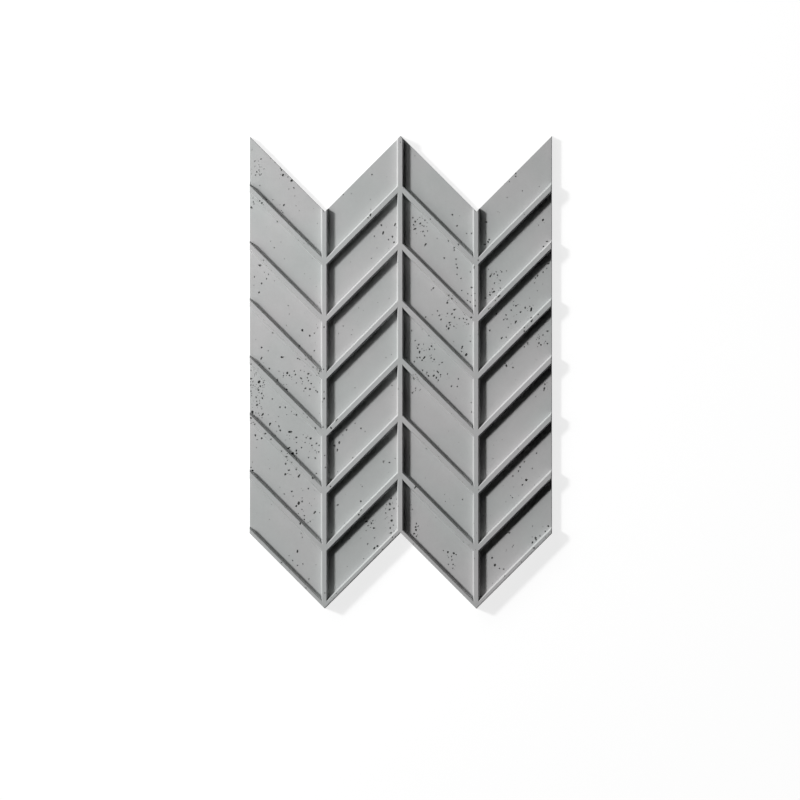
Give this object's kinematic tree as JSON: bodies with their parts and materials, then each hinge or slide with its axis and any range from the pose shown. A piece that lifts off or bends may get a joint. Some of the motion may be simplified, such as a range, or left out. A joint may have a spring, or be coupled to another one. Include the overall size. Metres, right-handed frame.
{
  "type": "concrete cladding panel",
  "caption": "Flat cast concrete wall panel with a herringbone relief of shallow slanting recesses between narrow ribs, and zigzag top and bottom edges.",
  "frame": {"origin": "centre of the panel's outline box, on its flat back face", "axes": "+Z out of the ribbed front, +Y along the upright ribs towards the edge with two notches, +X across the columns"},
  "size_m": [0.598, 0.9352, 0.026],
  "materials": {
    "cast_concrete": "fair-faced cast grey concrete, matt, with small casting pores"
  },
  "bodies": {
    "root": {"cladding_panel": "cast_concrete"}
  },
  "joints": []
}
